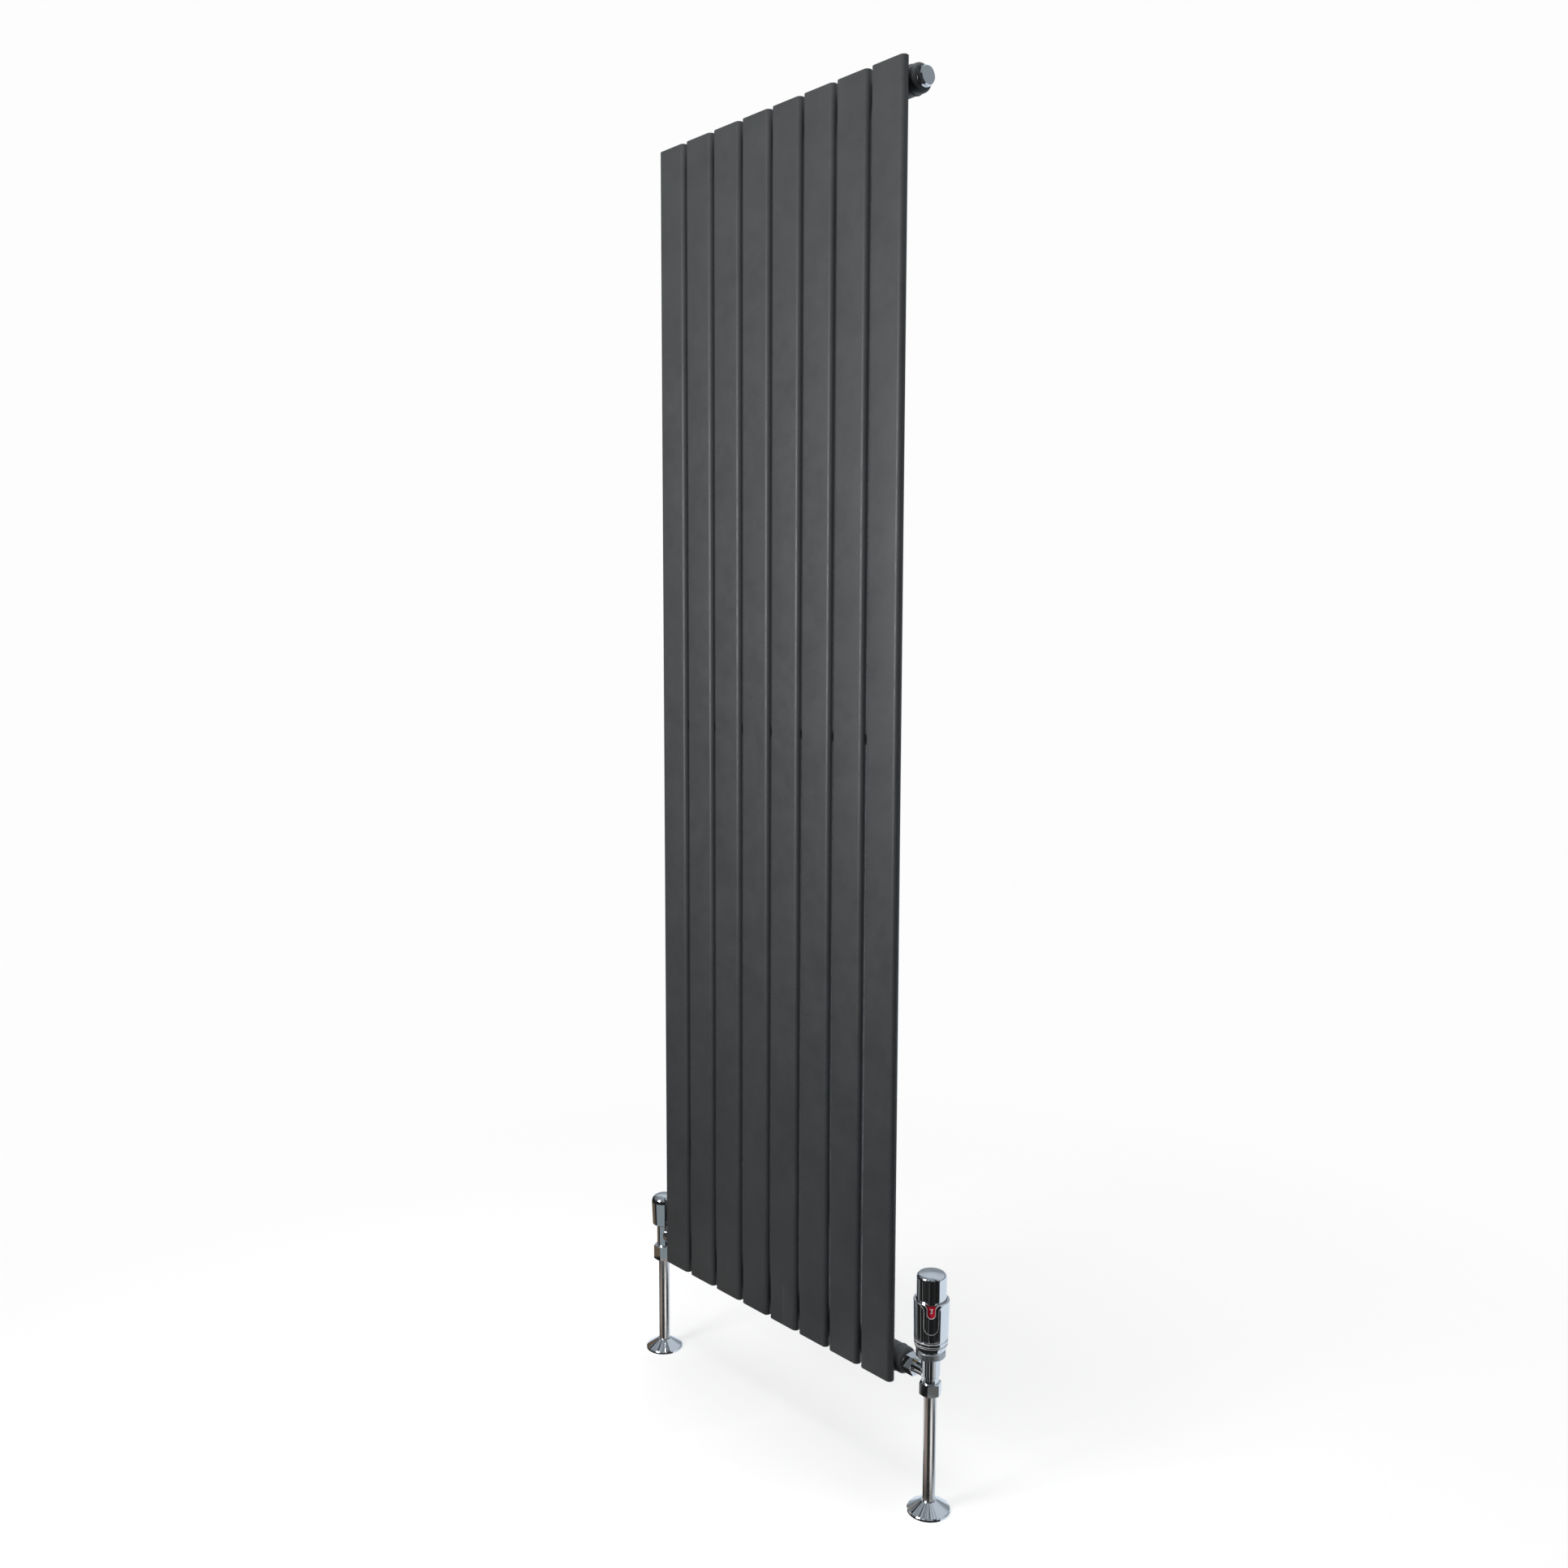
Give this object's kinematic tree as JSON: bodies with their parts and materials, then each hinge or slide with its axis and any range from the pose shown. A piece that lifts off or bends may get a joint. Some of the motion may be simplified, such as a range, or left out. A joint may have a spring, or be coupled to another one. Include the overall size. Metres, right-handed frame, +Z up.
{
  "type": "radiator with valves",
  "caption": "Tall vertical flat-tube radiator on two round headers, with an angled thermostatic valve, an angled lockshield valve and sleeved pipes to the floor.",
  "frame": {"origin": "centre of the four wall screw holes, on the wall's face", "axes": "+Z up along the flat tubes, +X towards the thermostatic valve, +Y into the wall"},
  "size_m": [0.613, 0.074, 1.76],
  "materials": {
    "anthracite_coat": "matt textured powder coat",
    "chrome": "polished chrome plate",
    "nickel": "satin nickel plate",
    "brass": "machined",
    "copper": null,
    "steel": "bright steel",
    "seal_rubber": "matt",
    "red_plastic": "gloss",
    "sensor_plastic": "satin"
  },
  "bodies": {
    "radiator": {"air_vent_plug": "chrome", "blanking_plug": "chrome", "bracket_grub_screws": "steel", "bracket_studs": "anthracite_coat", "flat_tube_1": "anthracite_coat", "flat_tube_2": "anthracite_coat", "flat_tube_3": "anthracite_coat", "flat_tube_4": "anthracite_coat", "flat_tube_5": "anthracite_coat", "flat_tube_6": "anthracite_coat", "flat_tube_7": "anthracite_coat", "flat_tube_8": "anthracite_coat", "header_seals": "seal_rubber", "lockshield_body": "chrome", "lockshield_compression_nut": "chrome", "lockshield_gland": "brass", "lockshield_olive": "brass", "lockshield_pipe": "copper", "lockshield_pipe_sleeve": "chrome", "lockshield_spindle_seal": "seal_rubber", "lockshield_tail": "chrome", "lockshield_union_nut": "chrome", "lower_header": "anthracite_coat", "lower_left_header_end": "anthracite_coat", "lower_left_wall_bracket": "anthracite_coat", "lower_port_nipples": "anthracite_coat", "lower_right_header_end": "anthracite_coat", "lower_right_wall_bracket": "anthracite_coat", "thermostatic_body": "chrome", "thermostatic_clamp_ring": "nickel", "thermostatic_compression_nut": "chrome", "thermostatic_gland_nut": "brass", "thermostatic_housing": "chrome", "thermostatic_insert": "brass", "thermostatic_olive": "brass", "thermostatic_pipe": "copper", "thermostatic_pipe_sleeve": "chrome", "thermostatic_spring": "steel", "thermostatic_tail": "chrome", "thermostatic_union_nut": "chrome", "tie_bar": "anthracite_coat", "upper_header": "anthracite_coat", "upper_left_header_end": "anthracite_coat", "upper_left_wall_bracket": "anthracite_coat", "upper_port_nipples": "anthracite_coat", "upper_right_header_end": "anthracite_coat", "upper_right_wall_bracket": "anthracite_coat"},
    "dial_knob": {"thermostatic_knob": "chrome", "thermostatic_dial": "red_plastic"},
    "sensor_stem": {"thermostatic_sensor": "sensor_plastic", "thermostatic_spindle": "steel", "thermostatic_washer": "seal_rubber"},
    "shield_cap": {"lockshield_cap": "chrome"},
    "shield_spindle": {"lockshield_spindle": "brass"},
    "shield_plug": {"lockshield_plug": "brass"},
    "bleed_screw": {"bleed_screw": "steel"},
    "supply_collar": {"thermostatic_floor_collar": "chrome"},
    "return_collar": {"lockshield_floor_collar": "chrome"}
  },
  "joints": [
    {"name": "knob_turn", "type": "hinge", "parent": "radiator", "child": "dial_knob", "pos_m": [0.279, -0.045, -0.68], "axis": [0, 0, 1], "range_deg": [-135, 135]},
    {"name": "stem_lift", "type": "slide", "parent": "radiator", "child": "sensor_stem", "axis": [0, 0, 1], "range_m": [-0.0015, 0.0015], "deforming": ["thermostatic_spring"]},
    {"name": "cap_lift", "type": "slide", "parent": "radiator", "child": "shield_cap", "axis": [0, 0, 1], "range_m": [0, 0.06]},
    {"name": "spindle_turn", "type": "hinge", "parent": "radiator", "child": "shield_spindle", "pos_m": [-0.279, -0.045, -0.76], "axis": [0, 0, 1], "range_deg": [-720, 720]},
    {"name": "plug_lift", "type": "slide", "parent": "radiator", "child": "shield_plug", "axis": [0, 0, 1], "range_m": [-0.003, 0.003]},
    {"name": "bleed_turn", "type": "hinge", "parent": "radiator", "child": "bleed_screw", "pos_m": [-0.242, -0.045, 0.779], "axis": [-1, 0, 0], "range_deg": [0, 360]},
    {"name": "supply_collar_lift", "type": "slide", "parent": "radiator", "child": "supply_collar", "axis": [0, 0, 1], "range_m": [0, 0.1]},
    {"name": "return_collar_lift", "type": "slide", "parent": "radiator", "child": "return_collar", "axis": [0, 0, 1], "range_m": [0, 0.1]}
  ],
  "couplings": [
    {"joint": "knob_turn", "follows": "stem_lift", "rad_per_m": 1570},
    {"joint": "spindle_turn", "follows": "plug_lift", "rad_per_m": 4188}
  ]
}
